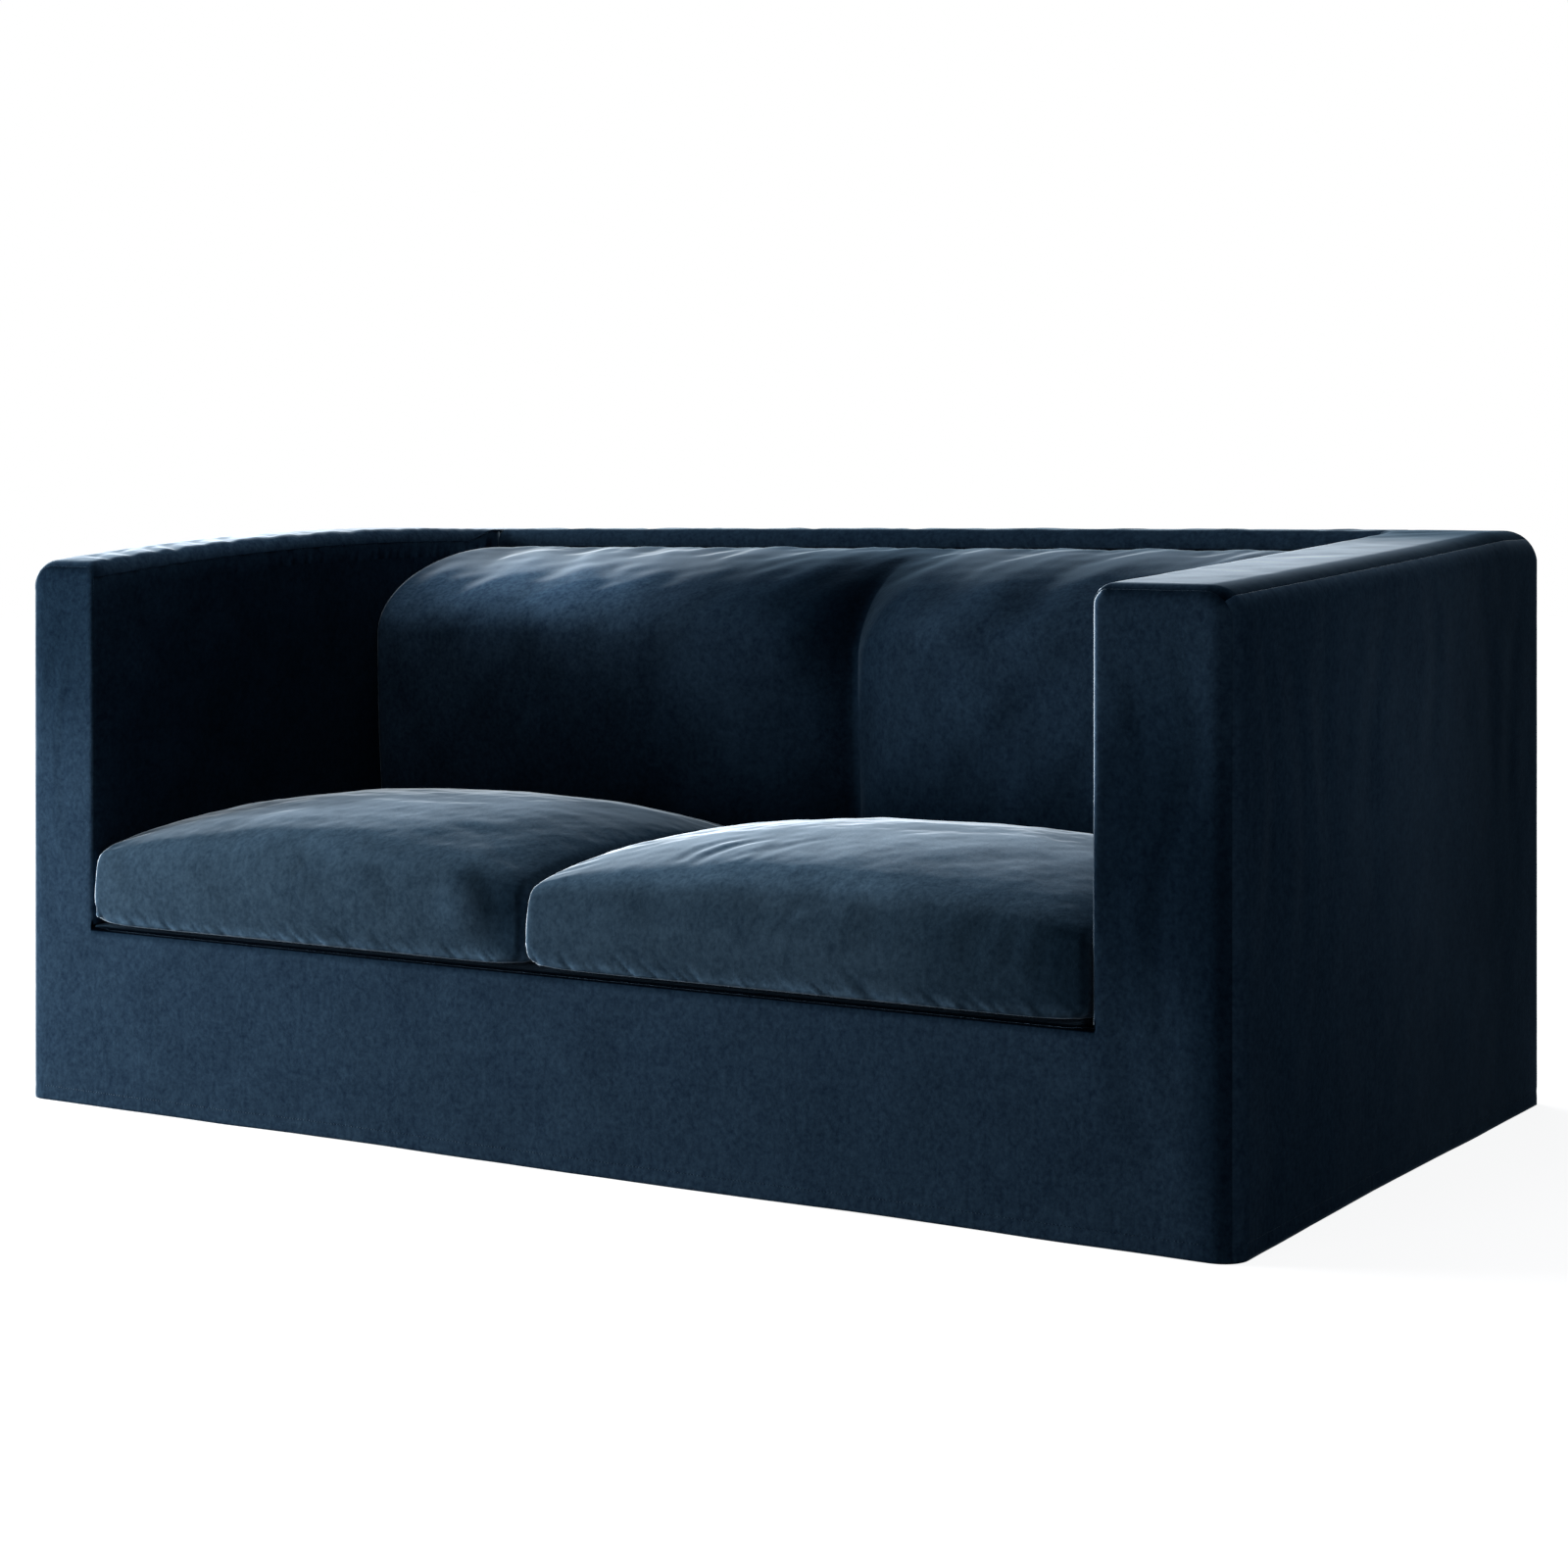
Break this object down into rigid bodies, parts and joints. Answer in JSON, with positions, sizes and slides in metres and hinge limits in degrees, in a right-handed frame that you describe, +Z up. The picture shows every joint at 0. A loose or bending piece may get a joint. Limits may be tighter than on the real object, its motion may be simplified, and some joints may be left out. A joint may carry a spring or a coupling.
{
  "type": "fitted sofa slipcover",
  "caption": "Fitted velvet cover for a square-armed sofa: cloth panels over its outside, arms, back and seat, open underneath, with filled seat cushions.",
  "frame": {"origin": "on the floor, at the centre of the footprint", "axes": "+X to the right along the width, +Y from the front to the back, +Z up"},
  "size_m": [1.706, 0.99, 0.741],
  "materials": {
    "velvet": "slate blue velvet, matt with a soft nap",
    "cushion_velvet": "slate blue velvet over a soft filling, its nap brushed lighter"
  },
  "bodies": {
    "root": {"front_panel": "velvet", "side_panel_left": "velvet", "side_panel_right": "velvet", "back_panel": "velvet", "back_top": "velvet", "arm_top_left": "velvet", "arm_top_right": "velvet", "inside_arm_left": "velvet", "inside_arm_right": "velvet", "inside_back": "velvet", "seat_deck": "velvet", "seat_cushion_left": "cushion_velvet", "seat_cushion_right": "cushion_velvet"}
  },
  "joints": []
}
